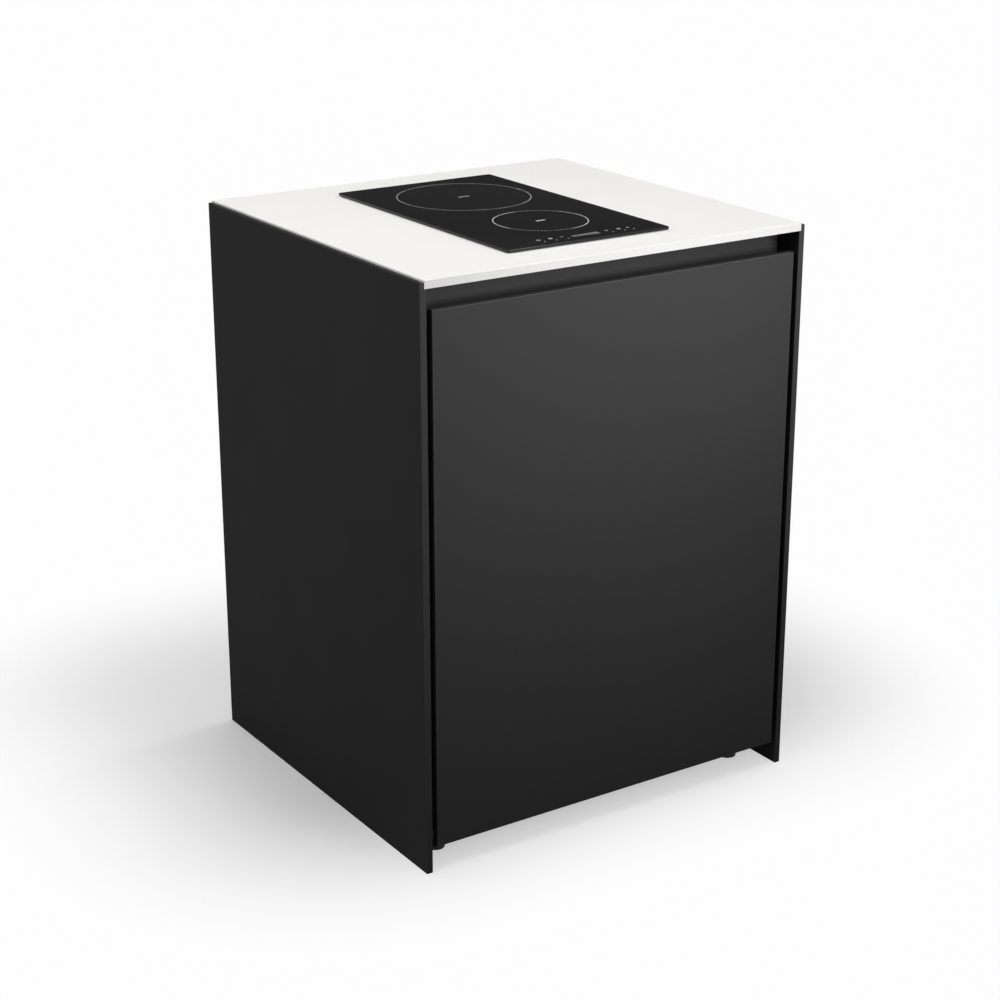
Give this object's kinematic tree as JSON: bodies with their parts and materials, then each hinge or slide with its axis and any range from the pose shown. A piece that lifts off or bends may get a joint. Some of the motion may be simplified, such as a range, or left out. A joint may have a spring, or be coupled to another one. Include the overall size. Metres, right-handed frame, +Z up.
{
  "type": "outdoor kitchen hob module",
  "caption": "Free-standing outdoor kitchen module: glass induction hob in a pale slab worktop, dark side panels, one hinged door with a finger recess above it, and levelling feet.",
  "frame": {"origin": "on the floor, at the middle of the module's footprint (bottom centre of its bounding box)", "axes": "+X to the right seen from the front, +Y from the door to the back, +Z up"},
  "size_m": [0.68, 0.64, 0.905],
  "materials": {
    "panel_laminate": "matte, dark anthracite compact laminate",
    "worktop_stone": "matte, pale sintered stone",
    "hob_glass": "polished, black ceramic glass, opaque from above",
    "door_coating": "matte, dark anthracite powder coat",
    "carcass_coating": "satin, dark powder coat on folded aluminium sheet",
    "door_foam": "matte, rigid board",
    "stainless_steel": "satin",
    "zinc_steel": "satin, zinc plated",
    "black_zinc": "satin, black zinc plated",
    "black_plastic": "matte",
    "black_rubber": "matte",
    "magnet_ferrite": "matte, ferrite",
    "coil_copper": "satin, varnished copper winding",
    "bare_aluminium": "satin",
    "circuit_board": "satin",
    "touch_foam": "matte",
    "sintered_bronze": "satin"
  },
  "bodies": {
    "carcass": {"back_panel": "carcass_coating", "board_capacitors": "bare_aluminium", "cable_clamp": "black_plastic", "cable_grommet": "black_rubber", "catch_magnet": "magnet_ferrite", "coil_ferrites": "magnet_ferrite", "coil_plates": "bare_aluminium", "coil_posts": "black_plastic", "coil_sensors": "touch_foam", "control_tray": "black_plastic", "divider_panel": "carcass_coating", "divider_rails": "carcass_coating", "fan_bearing": "sintered_bronze", "fan_housing": "black_plastic", "floor_pan": "carcass_coating", "foot_lock_nuts": "black_zinc", "foot_sockets": "black_zinc", "front_coil": "coil_copper", "grip_rail": "door_coating", "heat_sink": "bare_aluminium", "hinge_pins": "stainless_steel", "hob_casing": "zinc_steel", "hob_clamp_screws": "stainless_steel", "hob_clamps": "stainless_steel", "hob_gasket": "black_rubber", "hob_glass": "hob_glass", "left_carcass_side": "carcass_coating", "left_side_panel": "panel_laminate", "lower_hinge_bracket": "stainless_steel", "m5_screws": "stainless_steel", "magnet_housing": "black_plastic", "power_board": "circuit_board", "rear_coil": "coil_copper", "rear_rail": "carcass_coating", "right_carcass_side": "carcass_coating", "right_side_panel": "panel_laminate", "shelf": "carcass_coating", "shelf_pins": "stainless_steel", "side_panel_screws": "stainless_steel", "terminal_block": "black_plastic", "touch_board": "circuit_board", "touch_springs": "touch_foam", "upper_hinge_bracket": "stainless_steel", "worktop": "worktop_stone"},
    "door": {"door_core": "door_foam", "door_liner": "carcass_coating", "door_pivot_blocks": "black_plastic", "door_seal": "black_rubber", "door_skin": "door_coating", "door_strike_plate": "stainless_steel"},
    "fan": {"fan_impeller": "black_plastic", "fan_shaft": "stainless_steel"},
    "foot_pad_front_left": {"foot_pad_front_left": "black_plastic"},
    "foot_stem_front_left": {"foot_stem_front_left": "black_zinc"},
    "foot_pad_front_right": {"foot_pad_front_right": "black_plastic"},
    "foot_stem_front_right": {"foot_stem_front_right": "black_zinc"},
    "foot_pad_rear_left": {"foot_pad_rear_left": "black_plastic"},
    "foot_stem_rear_left": {"foot_stem_rear_left": "black_zinc"},
    "foot_pad_rear_right": {"foot_pad_rear_right": "black_plastic"},
    "foot_stem_rear_right": {"foot_stem_rear_right": "black_zinc"}
  },
  "joints": [
    {"name": "door_swing", "type": "hinge", "parent": "carcass", "child": "door", "pos_m": [0.3105, -0.313, 0.45], "axis": [0, 0, 1], "range_deg": [0, 105]},
    {"name": "fan_spin", "type": "hinge", "parent": "carcass", "child": "fan", "pos_m": [-0.088, -0.144, 0.86], "axis": [0, 0, 1], "continuous": true},
    {"name": "foot_lift_front_left", "type": "slide", "parent": "carcass", "child": "foot_pad_front_left", "axis": [0, 0, 1], "range_m": [-0.01, 0.015]},
    {"name": "foot_turn_front_left", "type": "hinge", "parent": "foot_pad_front_left", "child": "foot_stem_front_left", "pos_m": [-0.284, -0.252, 0.03], "axis": [0, 0, 1], "range_deg": [-2405, 3605]},
    {"name": "foot_lift_front_right", "type": "slide", "parent": "carcass", "child": "foot_pad_front_right", "axis": [0, 0, 1], "range_m": [-0.01, 0.015]},
    {"name": "foot_turn_front_right", "type": "hinge", "parent": "foot_pad_front_right", "child": "foot_stem_front_right", "pos_m": [0.284, -0.252, 0.03], "axis": [0, 0, 1], "range_deg": [-2405, 3605]},
    {"name": "foot_lift_rear_left", "type": "slide", "parent": "carcass", "child": "foot_pad_rear_left", "axis": [0, 0, 1], "range_m": [-0.01, 0.015]},
    {"name": "foot_turn_rear_left", "type": "hinge", "parent": "foot_pad_rear_left", "child": "foot_stem_rear_left", "pos_m": [-0.284, 0.252, 0.03], "axis": [0, 0, 1], "range_deg": [-2405, 3605]},
    {"name": "foot_lift_rear_right", "type": "slide", "parent": "carcass", "child": "foot_pad_rear_right", "axis": [0, 0, 1], "range_m": [-0.01, 0.015]},
    {"name": "foot_turn_rear_right", "type": "hinge", "parent": "foot_pad_rear_right", "child": "foot_stem_rear_right", "pos_m": [0.284, 0.252, 0.03], "axis": [0, 0, 1], "range_deg": [-2405, 3605]}
  ],
  "couplings": [
    {"joint": "foot_turn_front_left", "follows": "foot_lift_front_left", "rad_per_m": 4188.8},
    {"joint": "foot_turn_front_right", "follows": "foot_lift_front_right", "rad_per_m": 4188.8},
    {"joint": "foot_turn_rear_left", "follows": "foot_lift_rear_left", "rad_per_m": 4188.8},
    {"joint": "foot_turn_rear_right", "follows": "foot_lift_rear_right", "rad_per_m": 4188.8}
  ]
}
